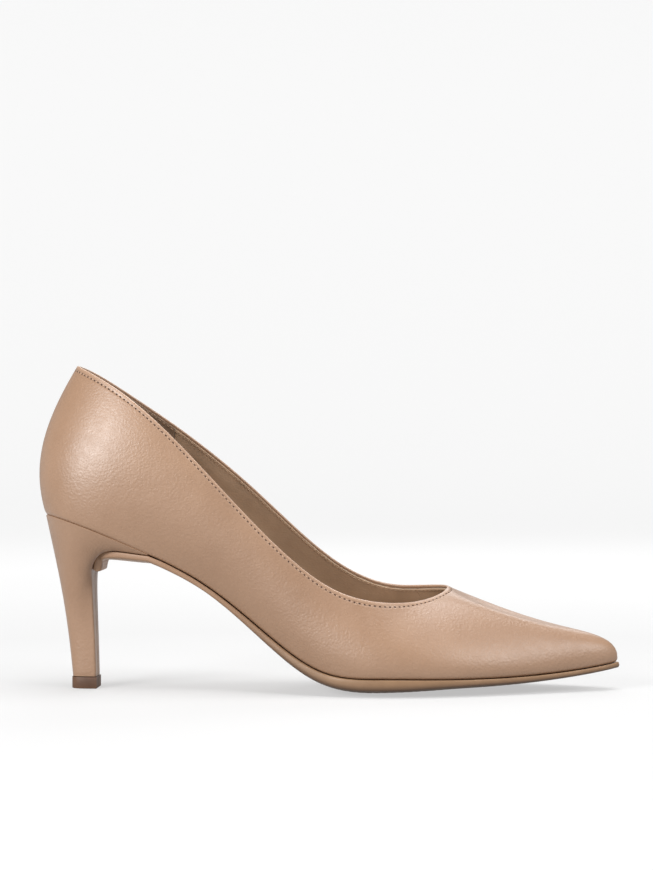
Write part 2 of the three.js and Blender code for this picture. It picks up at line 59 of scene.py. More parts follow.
studio = {
    "startRadius": 0.3, "floorRadius": 1.7, "wallRadius": 2.3, "wallHeight": 0.4, "steps": 64, "bends": 8,
    "paleness": 0.3, "sky": 0.24,
    "glow": [  # by distance from the shoe
        (0.0, 0.49), (0.3, 0.49), (0.6, 0.60), (0.9, 0.68),
        (1.3, 0.72), (1.7, 0.765), (2.1, 0.775), (3.0, 0.775),
    ],
    "glowOnShoe": 0.4,  # how much of the glow falls on the shoe
    "lamps": [  # name, where, what it faces, width, height, watts
        ("overhead", (0.12, -0.05, 1.1), (0.02, 0, 0.05), 0.9, 0.6, 11.0),
        ("key", (-0.78, -0.9, 0.5), (-0.04, 0, 0.09), 0.6, 0.4, 13.0),
        ("toe", (1.0, -0.6, 0.7), (0.08, 0, 0.03), 0.4, 0.4, 5.5),
        ("behind", (0.1, 1.1, 0.9), (0.03, 0, 0.05), 0.9, 0.6, 5.0),
    ],
}


def floorPaint():  # the wall glows a little more than the floor, so that the two look alike
    paint = bpy.data.materials.new("paleFloor")
    paint.use_nodes = True
    tree = paint.node_tree
    shader = tree.nodes["Principled BSDF"]
    shader.inputs["Base Color"].default_value = [studio["paleness"]] * 3 + [1]
    shader.inputs["Roughness"].default_value = 0.9
    shader.inputs["Specular IOR Level"].default_value = 0.1
    place = tree.nodes.new("ShaderNodeTexCoord")
    reach = tree.nodes.new("ShaderNodeVectorMath")
    reach.operation = "LENGTH"
    share = tree.nodes.new("ShaderNodeMath")
    share.operation = "DIVIDE"
    farthest = studio["glow"][-1][0]
    share.inputs[1].default_value = farthest
    ramp = tree.nodes.new("ShaderNodeValToRGB")
    while len(ramp.color_ramp.elements) < len(studio["glow"]):
        ramp.color_ramp.elements.new(0.5)
    for stop, (distance, glow) in zip(ramp.color_ramp.elements, studio["glow"]):
        stop.position = distance / farthest
        stop.color = (glow, glow, glow, 1)
    tree.links.new(place.outputs["Object"], reach.inputs[0])
    tree.links.new(reach.outputs["Value"], share.inputs[0])
    tree.links.new(share.outputs["Value"], ramp.inputs["Fac"])
    tree.links.new(ramp.outputs["Color"], shader.inputs["Emission Color"])
    seen = tree.nodes.new("ShaderNodeMapRange")
    seen.inputs["To Min"].default_value = studio["glowOnShoe"]
    tree.links.new(tree.nodes.new("ShaderNodeLightPath").outputs["Is Camera Ray"], seen.inputs["Value"])
    tree.links.new(seen.outputs["Result"], shader.inputs["Emission Strength"])
    return paint


def makeStudio():
    pick()
    start = studio["startRadius"]
    bpy.ops.mesh.primitive_circle_add(vertices=studio["steps"], radius=start, fill_type="NGON")
    bowl = bpy.context.object
    bowl.name = "floor"
    bpy.ops.object.mode_set(mode="EDIT")
    bpy.ops.mesh.extrude_region_move()
    bpy.ops.transform.resize(value=[studio["floorRadius"] / start] * 3)
    reach = studio["wallRadius"] - studio["floorRadius"]
    for part in range(1, studio["bends"] + 1):  # the floor turns up into the wall
        bend = math.radians(90) * part / studio["bends"]
        earlier = math.radians(90) * (part - 1) / studio["bends"]
        radius = studio["floorRadius"] + reach * math.sin(bend)
        before = studio["floorRadius"] + reach * math.sin(earlier)
        rise = reach * (math.cos(earlier) - math.cos(bend))
        bpy.ops.mesh.extrude_region_move(TRANSFORM_OT_translate={"value": (0, 0, rise)})
        bpy.ops.transform.resize(value=(radius / before, radius / before, 1))
    bpy.ops.mesh.extrude_region_move(TRANSFORM_OT_translate={"value": (0, 0, studio["wallHeight"])})
    bpy.ops.mesh.delete(type="FACE")
    bpy.ops.mesh.select_all(action="SELECT")
    bpy.ops.mesh.normals_make_consistent(inside=True)
    bpy.ops.object.mode_set(mode="OBJECT")
    bpy.ops.object.shade_smooth()
    bowl.data.materials.append(floorPaint())
    for name, place, towards, width, height, watts in studio["lamps"]:
        bpy.ops.object.light_add(type="AREA", location=place)
        lamp = bpy.context.object
        lamp.name = name
        lamp.rotation_euler = (Vector(towards) - Vector(place)).to_track_quat("-Z", "Y").to_euler()
        lamp.data.shape = "RECTANGLE"
        lamp.data.size = width
        lamp.data.size_y = height
        lamp.data.energy = watts
    sky = bpy.data.worlds.new("paleSky")
    sky.use_nodes = True
    sky.node_tree.nodes["Background"].inputs["Color"].default_value = (1, 1, 1, 1)
    sky.node_tree.nodes["Background"].inputs["Strength"].default_value = studio["sky"]
    bpy.context.scene.world = sky
    bpy.context.scene.view_settings.view_transform = "Standard"


def pick(*pieces):  # nothing else stays selected
    if bpy.context.object and bpy.context.object.mode == "EDIT":
        bpy.ops.object.mode_set(mode="OBJECT")
    bpy.ops.object.select_all(action="DESELECT")
    for piece in pieces:
        piece.select_set(True)
        bpy.context.view_layer.objects.active = piece


def weld(skin):
    pick(skin)
    bpy.ops.object.mode_set(mode="EDIT")
    bpy.ops.mesh.select_all(action="SELECT")
    bpy.ops.mesh.remove_doubles(threshold=3e-6)
    bpy.ops.mesh.dissolve_degenerate(threshold=1e-6)
    bpy.ops.object.mode_set(mode="OBJECT")


# A grid laid on points[column][level], with its faces out where columns cross levels.
def gridSkin(name, points, **marks):
    columns, levels = points.shape[:2]
    pick()
    bpy.ops.mesh.primitive_grid_add(x_subdivisions=columns - 1, y_subdivisions=levels - 1, size=1)
    skin = bpy.context.object
    skin.name = skin.data.name = name
    skin.data.vertices.foreach_set("co", (points * mm).transpose(1, 0, 2).ravel())
    for mark, values in marks.items():
        layer = skin.data.attributes.new(mark, "FLOAT", "POINT")
        layer.data.foreach_set("value", np.broadcast_to(values, (columns, levels)).T.ravel())
    weld(skin)
    return skin


def growSkin(name, rings, capped=True):  # a ring of points, extruded ring by ring
    pick()
    bpy.ops.mesh.primitive_circle_add(vertices=len(rings[0]), radius=0.01)
    skin = bpy.context.object
    skin.name = skin.data.name = name
    bpy.ops.object.mode_set(mode="EDIT")
    shape = bmesh.from_edit_mesh(skin.data)
    order = shape.verts.layers.int.new("order")
    for k, corner in enumerate(shape.verts):
        corner[order] = k
        corner.co = rings[0][k] * mm
    bmesh.update_edit_mesh(skin.data)
    bpy.ops.mesh.select_all(action="SELECT")
    if capped:
        bpy.ops.mesh.edge_face_add()
        bpy.ops.mesh.select_mode(type="EDGE")
    for ring in rings[1:]:
        bpy.ops.mesh.extrude_edges_move()
        shape = bmesh.from_edit_mesh(skin.data)
        order = shape.verts.layers.int["order"]
        for corner in shape.verts:
            if corner.select:
                corner.co = ring[corner[order]] * mm
        bmesh.update_edit_mesh(skin.data)
    if capped:
        bpy.ops.mesh.edge_face_add()
    bpy.ops.mesh.select_mode(type="VERT")
    bpy.ops.mesh.select_all(action="SELECT")
    bpy.ops.mesh.normals_make_consistent(inside=False)
    bpy.ops.object.mode_set(mode="OBJECT")
    return skin


def modify(piece, kind, **values):
    pick(piece)
    change = piece.modifiers.new(kind.lower(), kind)
    for key, value in values.items():
        setattr(change, key, value)
    bpy.ops.object.modifier_apply(modifier=change.name)


def thicken(skin, thickness, bevel, angle, even=True):  # inwards, and then its rims are rounded
    modify(skin, "SOLIDIFY", thickness=thickness * mm, offset=-1, use_even_offset=even)
    sharp = math.radians(angle)
    modify(skin, "BEVEL", width=bevel * mm, segments=2, limit_method="ANGLE", angle_limit=sharp)


def complete(piece, finish, nodes=(), smooth=40):
    pick(piece)
    bpy.ops.object.shade_smooth_by_angle(angle=math.radians(smooth))
    piece.data.materials.clear()
    piece.data.materials.append(finish)
    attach(piece, "root")
    if nodes:
        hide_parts(*nodes)


# The finishes, made of nodes that read each piece's own place.


class Finish:
    def __init__(self, name, **shader):  # a word like coatWeight names the socket Coat Weight
        self.paint = bpy.data.materials.new(name)
        self.paint.use_nodes = True
        self.tree = self.paint.node_tree
        self.shader = self.tree.nodes["Principled BSDF"]
        sockets = {socket.name.replace(" ", "").lower(): socket for socket in self.shader.inputs}
        for word, value in shader.items():
            sockets[word.lower()].default_value = value
        self.place = self.add("ShaderNodeTexCoord").outputs["Object"]
        self.height = None

    def add(self, kind, sockets=None, **settings):
        node = self.tree.nodes.new(kind)
        for key, value in settings.items():
            setattr(node, key, value)
        for key, value in (sockets or {}).items():
            self.feed(value, node.inputs[key])
        return node

    def feed(self, value, socket):
        if hasattr(value, "is_linked"):
            self.tree.links.new(value, socket)
        else:
            socket.default_value = value

    def stretched(self, scale):
        return self.add("ShaderNodeMapping", {"Vector": self.place, "Scale": scale}).outputs["Vector"]

    def cloudy(self, scale, detail=4, roughness=0.55, distortion=0, place=None):
        sockets = {
            "Vector": place or self.place, "Scale": scale, "Detail": detail, "Roughness": roughness,
            "Distortion": distortion,
        }
        return self.add("ShaderNodeTexNoise", sockets).outputs["Fac"]

    def cells(self, scale, feature="F1", place=None):
        sockets = {"Vector": place or self.place, "Scale": scale}
        return self.add("ShaderNodeTexVoronoi", sockets, feature=feature).outputs["Distance"]

    def spread(self, value, low, high, fromLow=0.0, fromHigh=1.0):
        sockets = {"Value": value, "From Min": fromLow, "From Max": fromHigh, "To Min": low, "To Max": high}
        return self.add("ShaderNodeMapRange", sockets).outputs["Result"]

    def maths(self, operation, first, second):
        return self.add("ShaderNodeMath", {0: first, 1: second}, operation=operation).outputs[0]

    def blend(self, share, first, second):
        node = self.add("ShaderNodeMix", data_type="RGBA")
        for value, socket in ((share, 0), (first, 6), (second, 7)):
            ready = socket == 0 or hasattr(value, "is_linked")
            self.feed(value if ready else (*value, 1), node.inputs[socket])
        return node.outputs[2]

    def mark(self, name):
        return self.add("ShaderNodeAttribute", attribute_name=name).outputs["Fac"]

    def colour(self, value):
        self.feed(value, self.shader.inputs["Base Color"])

    def relief(self, value, depth, strength=1.0):  # depth in millimetres
        sockets = {"Height": value, "Distance": depth * mm, "Strength": strength}
        if self.height:
            sockets["Normal"] = self.height
        self.height = self.add("ShaderNodeBump", sockets).outputs["Normal"]
        self.feed(self.height, self.shader.inputs["Normal"])

    def shine(self, value):
        self.feed(value, self.shader.inputs["Roughness"])


leathers = {
    "nude": (0.355, 0.212, 0.130), "nudeDeep": (0.305, 0.176, 0.104), "nudeWorn": (0.500, 0.330, 0.228),
    "lining": (0.460, 0.312, 0.205), "liningDeep": (0.330, 0.218, 0.138),
    "grip": (0.200, 0.126, 0.080), "gripPile": (0.275, 0.184, 0.124),
    "sock": (0.420, 0.290, 0.195), "sockDeep": (0.350, 0.235, 0.152),
}


def nudeLeather():
    skin = Finish("nudeLeather", coatWeight=0.4, coatRoughness=0.36, specularIorLevel=0.6)
    clouds = skin.cloudy(26, detail=5)
    tone = skin.blend(skin.spread(clouds, 0, 1, 0.35, 0.68), leathers["nudeDeep"], leathers["nude"])
    pores = skin.cells(1500)
    tone = skin.blend(skin.spread(pores, 0.3, 0.0, 0.0, 0.25), tone, leathers["nudeDeep"])
    # the folded edge turns lighter: wear on it, and a painted highlight along its round
    tone = skin.blend(skin.maths("MULTIPLY", skin.mark("rim"), 0.5), tone, leathers["nudeWorn"])
    skin.colour(tone)
    skin.shine(skin.spread(skin.cloudy(240, detail=3), 0.36, 0.48, 0.3, 0.7))
    skin.relief(skin.cloudy(55, detail=3), 0.5, 0.3)
    skin.relief(skin.cells(980, feature="SMOOTH_F1"), 0.16, 0.8)
    skin.relief(skin.cloudy(1900, detail=3), 0.09, 0.8)
    return skin.paint


def liningLeather(name, light, deep, scale):
    skin = Finish(name, specularIorLevel=0.35)
    clouds = skin.cloudy(45, detail=6)
    tone = skin.blend(skin.spread(clouds, 0, 1, 0.32, 0.7), deep, light)
    creases = skin.cells(scale, place=skin.stretched((1, 1, 2.2)))
    # the colour darkens in the crease hollows: painted shade
    skin.colour(skin.blend(skin.spread(creases, 0.3, 0.0, 0.0, 0.35), tone, deep))
    skin.shine(skin.spread(skin.cloudy(200), 0.50, 0.64, 0.3, 0.7))
    skin.relief(skin.cloudy(150, detail=4, place=skin.stretched((1, 1, 2.5))), 0.25, 0.3)
    skin.relief(creases, 0.06, 0.5)
    return skin.paint


def suede():
    nap = Finish("gripSuede", roughness=0.92, sheenWeight=0.35, sheenRoughness=0.5, specularIorLevel=0.2)
    strokes = nap.cloudy(70, detail=5, distortion=0.6)
    pile = nap.cloudy(3200, detail=3)
    tone = nap.blend(nap.spread(strokes, 0, 1, 0.35, 0.66), leathers["grip"], leathers["gripPile"])
    nap.colour(nap.blend(nap.spread(pile, 0, 0.45, 0.4, 0.7), tone, leathers["grip"]))
    nap.relief(pile, 0.12, 0.6)
    return nap.paint


soleColours = {
    "ochre": (0.305, 0.18, 0.098), "ochreDeep": (0.235, 0.132, 0.068),
    "worn": (0.20, 0.118, 0.074), "wornDeep": (0.145, 0.082, 0.050), "stain": (0.095, 0.054, 0.033),
}


def soleFinish():
    edge = Finish("soleEdgeAndTread", coatWeight=0.1, coatRoughness=0.35, specularIorLevel=0.4)
    along = edge.add("ShaderNodeSeparateXYZ", {"Vector": edge.place}).outputs["X"]
    towardsWaist = edge.spread(along, 0, 1, -0.012, -0.05)
    clouds = edge.spread(edge.cloudy(90, detail=5), 0, 1, 0.3, 0.7)
    ochre = edge.blend(clouds, soleColours["ochreDeep"], soleColours["ochre"])
    burnish = edge.blend(towardsWaist, ochre, leathers["nude"])
    scuffs = edge.cloudy(420, detail=6, place=edge.stretched((0.25, 1, 1)))
    # the forepart's tread and lower bevel in dark brown: scuffed wear, with painted shade under the ball
    worn = edge.blend(edge.spread(scuffs, 0, 1, 0.4, 0.62), soleColours["worn"], soleColours["wornDeep"])
    # towards the waist the tread turns to the pale nude: a painted floor-lit highlight
    tread = edge.blend(towardsWaist, worn, leathers["nudeWorn"])
    tone = edge.blend(edge.maths("MULTIPLY", edge.mark("tread"), 0.9), burnish, tread)
    # darker towards the lower rim, most at the forepart: painted shade where the edge turns under to the
    # floor, with an edge stain
    stain = edge.maths("MULTIPLY", edge.mark("lower"), edge.spread(towardsWaist, 0.85, 0.15))
    edge.colour(edge.blend(stain, tone, soleColours["stain"]))
    edge.shine(edge.spread(scuffs, 0.38, 0.56, 0.35, 0.65))
    edge.relief(edge.cloudy(900, detail=3, place=edge.stretched((0.3, 0.3, 1.6))), 0.06, 0.4)
    return edge.paint


def moulded(name, light, deep, roughness, grain, depth):
    stuff = Finish(name, specularIorLevel=0.4)
    stuff.colour(stuff.blend(stuff.spread(stuff.cloudy(160, detail=4), 0, 1, 0.35, 0.65), deep, light))
    stuff.shine(stuff.spread(stuff.cloudy(500), roughness - 0.06, roughness + 0.06, 0.3, 0.7))
    stuff.relief(stuff.cloudy(grain, detail=3), depth, 0.5)
    return stuff.paint


def boardFinish(name, light, deep):
    fibres = Finish(name, roughness=0.9)
    streaks = fibres.cloudy(700, detail=5, place=fibres.stretched((0.2, 1, 1)))
    fibres.colour(fibres.blend(fibres.spread(streaks, 0, 1, 0.35, 0.65), deep, light))
    fibres.relief(streaks, 0.08, 0.5)
    return fibres.paint


def corkFinish():
    cork = Finish("corkFiller", roughness=0.95)
    crumbs = cork.cells(420)
    cork.colour(cork.blend(cork.spread(crumbs, 0, 1, 0.1, 0.6), (0.36, 0.22, 0.12), (0.16, 0.09, 0.05)))
    cork.relief(crumbs, 0.2, 0.5)
    return cork.paint


def steelFinish():
    steel = Finish("temperedSteel", metallic=1)
    brushed = steel.cloudy(900, detail=3, place=steel.stretched((0.08, 1, 1)))
    steel.colour(steel.blend(steel.spread(brushed, 0, 1, 0.35, 0.65), (0.36, 0.37, 0.39), (0.5, 0.51, 0.53)))
    steel.shine(steel.spread(brushed, 0.28, 0.42, 0.3, 0.7))
    return steel.paint


def foamFinish():
    foam = Finish("latexFoam", roughness=0.95)
    cells = foam.cells(1700)
    foam.colour(foam.blend(foam.spread(cells, 0, 1, 0.1, 0.5), (0.66, 0.57, 0.42), (0.8, 0.73, 0.58)))
    foam.relief(cells, 0.15, 0.5)
    return foam.paint


def tapeFinish():
    tape = Finish("wovenTape", roughness=0.9)
    sockets = {"Vector": tape.place, "Scale": 900}
    warp = tape.add("ShaderNodeTexWave", sockets, bands_direction="X").outputs["Fac"]
    weft = tape.add("ShaderNodeTexWave", sockets, bands_direction="Z").outputs["Fac"]
    weave = tape.maths("MULTIPLY", warp, weft)
    tape.colour(tape.blend(weave, (0.6, 0.53, 0.42), (0.78, 0.72, 0.6)))
    tape.relief(weave, 0.08, 0.5)
    return tape.paint


def threadFinish():
    thread = Finish("nudeThread", roughness=0.6, sheenWeight=0.2)
    plies = thread.cloudy(2600, detail=2)
    share = thread.spread(plies, 0, 1, 0.35, 0.65)
    thread.colour(thread.blend(share, (0.34, 0.205, 0.130), (0.47, 0.31, 0.21)))
    thread.relief(plies, 0.06, 0.6)
    return thread.paint


# near-black: the painted shade inside the needle holes
def shadeFinish():
    shade = Finish("needleHoleShade", roughness=0.9)
    shade.colour(shade.blend(shade.cloudy(2000), (0.050, 0.024, 0.014), (0.085, 0.044, 0.027)))
    return shade.paint


finishes = {
    "leather": nudeLeather(),
    "lining": liningLeather("taupeLining", leathers["lining"], leathers["liningDeep"], 900),
    "sock": liningLeather("sockLeather", leathers["sock"], leathers["sockDeep"], 1300),
    "grip": suede(),
    "sole": soleFinish(),
    "lift": moulded("liftRubber", (0.135, 0.068, 0.038), (0.095, 0.046, 0.026), 0.5, 1400, 0.05),
    "plastic": moulded("heelPlastic", (0.70, 0.65, 0.57), (0.60, 0.55, 0.47), 0.45, 500, 0.05),
    "stiffener": boardFinish("stiffenerFibre", (0.50, 0.40, 0.29), (0.38, 0.29, 0.20)),
    "board": boardFinish("insoleBoard", (0.47, 0.35, 0.23), (0.34, 0.24, 0.15)),
    "cork": corkFinish(), "steel": steelFinish(), "foam": foamFinish(), "tape": tapeFinish(),
    "thread": threadFinish(), "hole": shadeFinish(),
}
print("finishes")

# The last: rows run from the heel's back, round the outer side to the toe, and back along the inner side.
# Each gives the feather edge, the wall's pull away from it, the wall's pull below the topline, and the
# topline, in millimetres.
last = {
    "rows": [
        [(-124.3, 0, 76.6), (-6.3, 0, 21.4), (-15, 0, -24.8), (-110.2, 0, 140.6)],
        [(-117.5, -16.5, 75.2), (-4.5, -3.5, 21), (-9, -5, -23), (-103, -12.3, 137.2)],
        [(-101, -24, 69.9), (0, -4.5, 18), (-3, -6, -20), (-86.3, -21.5, 127.3)],
        [(-77, -23, 59.6), (0, -7, 15), (-1, -5, -16), (-65, -25.4, 108.9)],
        [(-52, -21.3, 46.2), (0, -8.5, 12), (0, -4, -13), (-40, -26.7, 82.7)],
        [(-27, -23.5, 26.9), (0, -8, 11), (0, -4, -12), (-18, -27.7, 60.7)],
        [(-2, -31, 10.6), (0, -6, 10), (0, -4, -11), (3, -29, 45.3)],
        [(24, -36.5, 8), (0, -4, 9), (0, -4.5, -9), (22.5, -27.9, 39.8)],
        [(54, -32, 7.7), (1, -3.5, 9), (3, -7, -6), (37.5, -19.3, 39.6)],
        [(85, -19, 8.1), (2, -3, 9), (9, -7, -3), (46.5, -11, 41.7)],
        [(112, -6, 10.4), (3, -2, 13.2), (22, -6, -11), (50.3, -5, 43.8)],
        [(124.6, 3, 12.4), (2.6, 0, 18.5), (33, 0.8, -22.3), (51.3, 1, 44.8)],
        [(112.5, 13, 10.4), (3, 2, 13.2), (22, 6.5, -11), (50.3, 7, 44.9)],
        [(87, 23, 8.1), (2, 3, 9), (9, 7.5, -4), (46.5, 13, 44.7)],
        [(57, 34.3, 7.7), (1, 3, 10), (3, 7, -6), (37.5, 21, 44.1)],
        [(26, 35.8, 8), (0, 4, 10), (0, 4.5, -9), (22.5, 28.6, 44.7)],
        [(-2, 27, 10.6), (0, 8, 13), (0, 4, -12), (3, 29.8, 53.2)],
        [(-27, 18, 26.9), (0, 12.5, 15), (0, 4, -15), (-18, 28, 70.4)],
        [(-52, 15.8, 46.2), (0, 13.5, 16), (0, 4, -16.5), (-40, 27, 90.8)],
        [(-77, 21, 59.6), (0, 9.5, 17), (-1, 5, -17), (-65, 26, 110.9)],
        [(-101, 24, 69.9), (0, 4.5, 18), (-3, 6, -20), (-86.3, 22, 125.8)],
        [(-117.5, 16.5, 75.2), (-4.5, 3.5, 21), (-9, 5, -23), (-103, 12.3, 136.9)],
    ],
    "crown": [(-125, 1.5), (-100, 2.5), (-60, 1.4), (-20, 2.4), (20, 3.6), (60, 3.1), (95, 1.6), (125, 0.3)],
    "margin": 9.5, "toeMargin": 3.4, "toeMarginFrom": 80, "toeMarginOver": 45,
}
rowCount = len(last["rows"])
toeRow = rowCount // 2


def netThrough(points):  # control points of the closed cubic spline through the points
    net = points.copy()
    for _ in range(40):
        for k in range(len(net)):
            net[k] = (6 * points[k] - net[k - 1] - net[(k + 1) % len(net)]) / 4
    return net


def onNet(net, around, slope=False):
    around = np.asarray(around, float)
    row = np.floor(around).astype(int)
    t = around - row
    if slope:
        weights = [-((1 - t) ** 2) / 2, (3 * t**2 - 4 * t) / 2, (-3 * t**2 + 2 * t + 1) / 2, t**2 / 2]
    else:
        weights = [
            (1 - t) ** 3 / 6, (3 * t**3 - 6 * t**2 + 4) / 6,
            (-3 * t**3 + 3 * t**2 + 3 * t + 1) / 6, t**3 / 6,
        ]
    return sum(w[..., None] * net[(row + k - 1) % len(net)] for k, w in enumerate(weights))


rows = np.array(last["rows"], float)
feather = netThrough(rows[:, 0])
pulls = [netThrough(rows[:, 0] + rows[:, 1]), netThrough(rows[:, 3] + rows[:, 2])]
nets = [feather, *pulls, netThrough(rows[:, 3])]


def unit(vectors):
    return vectors / np.linalg.norm(vectors, axis=-1, keepdims=True)


def mix(first, second, share):
    return first + (second - first) * share


def ease(t):
    t = np.clip(t, 0, 1)
    return t * t * (3 - 2 * t)


def bezier(corners, t):
    t = t[..., None]
    shares = [(1 - t) ** 3, 3 * t * (1 - t) ** 2, 3 * t**2 * (1 - t), t**3]
    return sum(share * corner for share, corner in zip(shares, corners))


def onWall(around, up, depth=0.0):  # points at a depth in from the upper's outside, and the way out there
    around, up, depth = np.broadcast_arrays(around, up, np.asarray(depth, float))
    t = up[..., None]
    rises = [-3 * (1 - t) ** 2, 3 * (1 - t) * (1 - 3 * t), 3 * t * (2 - 3 * t), 3 * t**2]
    corners = [onNet(net, around) for net in nets]
    rise = sum(share * corner for share, corner in zip(rises, corners))
    run = bezier([onNet(net, around, slope=True) for net in nets], up)
    out = unit(np.cross(run, rise))
    return bezier(corners, up) - out * depth[..., None], out


def wallLengths(around):  # the length walked down the wall from the topline, and how far up it leaves one
    ups = np.linspace(1, 0, 90)
    line, _ = onWall(around[:, None], ups[None, :])
    lengths = np.cumsum(np.linalg.norm(np.diff(line, axis=1), axis=2), axis=1)
    return ups, np.pad(lengths, ((0, 0), (1, 0)))


def upBelow(around, drop):  # how far up the wall lies a drop below the topline
    ups, lengths = wallLengths(around)
    drop = np.broadcast_to(drop, (len(around), np.shape(drop)[-1]))
    return np.array([np.interp(d, length, ups) for d, length in zip(drop, lengths)])


def along(table, x):  # a smooth curve through (x, value) pairs
    xs, values = np.array(table, float).T
    final = len(xs) - 1
    before, after = (np.clip(np.arange(len(xs)) + step, 0, final) for step in (-1, 1))
    slopes = (values[after] - values[before]) / (xs[after] - xs[before])
    x = np.clip(np.asarray(x, float), xs[0], xs[-1])
    k = np.clip(np.searchsorted(xs, x, side="right") - 1, 0, final - 1)
    width = xs[k + 1] - xs[k]
    t = (x - xs[k]) / width
    flat = (1 + 2 * t) * (1 - t) ** 2 * values[k] + t * t * (3 - 2 * t) * values[k + 1]
    return flat + width * (t * (1 - t) ** 2 * slopes[k] + t * t * (t - 1) * slopes[k + 1])


outerHalf = onNet(feather, np.linspace(0, toeRow, 400))
innerHalf = onNet(feather, np.linspace(rowCount, toeRow, 400))


def bottomHeight(x, y):
    outerY, outerZ = (np.interp(x, outerHalf[:, 0], outerHalf[:, k]) for k in (1, 2))
    innerY, innerZ = (np.interp(x, innerHalf[:, 0], innerHalf[:, k]) for k in (1, 2))
    t = np.clip((y - outerY) / np.maximum(innerY - outerY, 1), 0, 1)
    return mix(outerZ, innerZ, t) - 4 * along(last["crown"], x) * t * (1 - t)


def raised(point, height):  # above the last's bottom, square to it along the foot
    x, y = point[..., 0], point[..., 1]
    slope = (bottomHeight(x + 1, y) - bottomHeight(x - 1, y)) / 2
    length = np.sqrt(1 + slope**2)
    moved = x - slope / length * height
    return np.stack([moved, y + 0 * height, bottomHeight(x, y) + height / length], axis=-1)


def insetEdge(around, inset):  # the outline moved inwards, level with the floor
    around, inset = np.broadcast_arrays(around, np.asarray(inset, float))
    run = onNet(feather, around, slope=True)
    side = unit(np.stack([-run[..., 1], run[..., 0], 0 * run[..., 0]], axis=-1))
    return onNet(feather, around) + side * inset[..., None]


def marginAt(around):  # how far the upper is turned in below
    towardsToe = onNet(feather, around)[..., 0] - last["toeMarginFrom"]
    return mix(last["margin"], last["toeMargin"], ease(towardsToe / last["toeMarginOver"]))


def turnUnder(around, depth, corner, count=5):  # the rounded stretch from the bottom up into the wall
    around = around[:, None]
    ups, lengths = wallLengths(around[:, 0])
    start = raised(insetEdge(around, depth + corner), depth + 0 * around)
    middle = insetEdge(around, depth)
    middle[..., 2] += depth
    high = upBelow(around[:, 0], lengths[:, -1:] - corner - depth)
    end, _ = onWall(around, high, depth)
    t = np.linspace(0, 1, count)[None, :, None]
    return (1 - t) ** 2 * start + 2 * t * (1 - t) * middle + t**2 * end


# The upper: one skin right round the last, turned in below, with a folded and stitched topline.

upper = {
    "columnsPerRow": 15, "levels": 36, "thickness": 1.0, "corner": 1.3, "foldRadius": 0.6, "foldTo": 6.5,
    "stitchLine": 2.2, "channel": 0.13, "channelHalf": 0.6,
    "seamRow": 16.15, "seamDepth": 0.3, "seamHalf": 0.022, "seamOnFold": 0.4,
    "wallTo": 4.6,  # how far below the topline the even levels end, and the levels above that
    "nearTopline": [4, 3.4, 3, 2.75, 2.5, 2.35, 2.2, 2.05, 1.9, 1.65, 1.4, 1.1, 0.85],
    "insideLevels": [1, 2, 3.5, 5], "insideFrom": 7.0, "insideLowest": 2.4, "leastMargin": 2.6,
}


def upperColumns():
    around = np.linspace(0, rowCount, rowCount * upper["columnsPerRow"] + 1)
    seam = upper["seamRow"] + upper["seamHalf"] * np.linspace(-2, 2, 13)
    clear = np.abs(around - upper["seamRow"]) > 2.4 * upper["seamHalf"]
    return np.sort(np.concatenate([around[clear], seam]))


def makeUpper():
    around = upperColumns()
    wide = around[:, None]
    bottom = wallLengths(around)[1][:, -1:]
    radius, thick = upper["foldRadius"], upper["thickness"]
    seam = upper["seamDepth"] * np.exp(-(((wide - upper["seamRow"]) / upper["seamHalf"]) ** 2))
    shares = np.linspace(0, 1, upper["levels"])[None, :]
    evenly = mix(bottom - upper["corner"], upper["wallTo"], shares)
    outsideDrop = np.concatenate([evenly, upper["nearTopline"] + 0 * wide], axis=1)
    offLine = (outsideDrop - upper["stitchLine"]) / upper["channelHalf"]
    dip = upper["channel"] * np.clip(1 - offLine**2, 0, 1)
    outside, _ = onWall(wide, upBelow(around, outsideDrop), dip + seam)
    turn = np.linspace(0, math.pi, 11)[None, :]
    foldDepth = radius * (1 - np.cos(turn)) + upper["seamOnFold"] * seam
    fold, _ = onWall(wide, upBelow(around, radius * (1 - np.sin(turn))), foldDepth)
    nearFold = [*upper["insideLevels"], upper["foldTo"]] + 0 * wide
    below = mix(upper["insideFrom"], bottom - upper["insideLowest"], shares[:, ::3])
    insideDrop = np.concatenate([nearFold, below], axis=1)
    deep = np.where(insideDrop <= upper["foldTo"], 2 * radius, thick) + 0 * insideDrop
    inside, _ = onWall(wide, upBelow(around, insideDrop), deep)
    margin = np.maximum(marginAt(wide), upper["leastMargin"])
    under = np.linspace(0, 1, 6)[None, :]
    above = raised(insetEdge(wide, mix(thick + upper["corner"], margin, under)), thick + 0 * (wide + under))
    below = raised(insetEdge(wide, mix(margin, upper["corner"] + 0.1, under)), 0 * (wide + under))
    inner = turnUnder(around, thick, upper["corner"])[:, ::-1]
    outer = turnUnder(around, 0, upper["corner"])
    parts = [outer[:, :-1], outside, fold, inside, inner[:, 1:-1], above, below, outer[:, :1]]
    points = np.concatenate(parts, axis=1)
    before = outer.shape[1] - 1 + outside.shape[1]
    rim = np.zeros(points.shape[1])  # the wear and a painted highlight on the folded edge
    fade = [0.2, 0.4, 0.6, 0.8]
    rim[before - 3 : before + 11] = fade + [1] * 6 + fade[::-1]
    skin = gridSkin("upper_skin", points, rim=rim[None, :])
    complete(skin, finishes["leather"], ["upper"], smooth=60)


# The linings stand inside the upper, cut just below its folded edge.

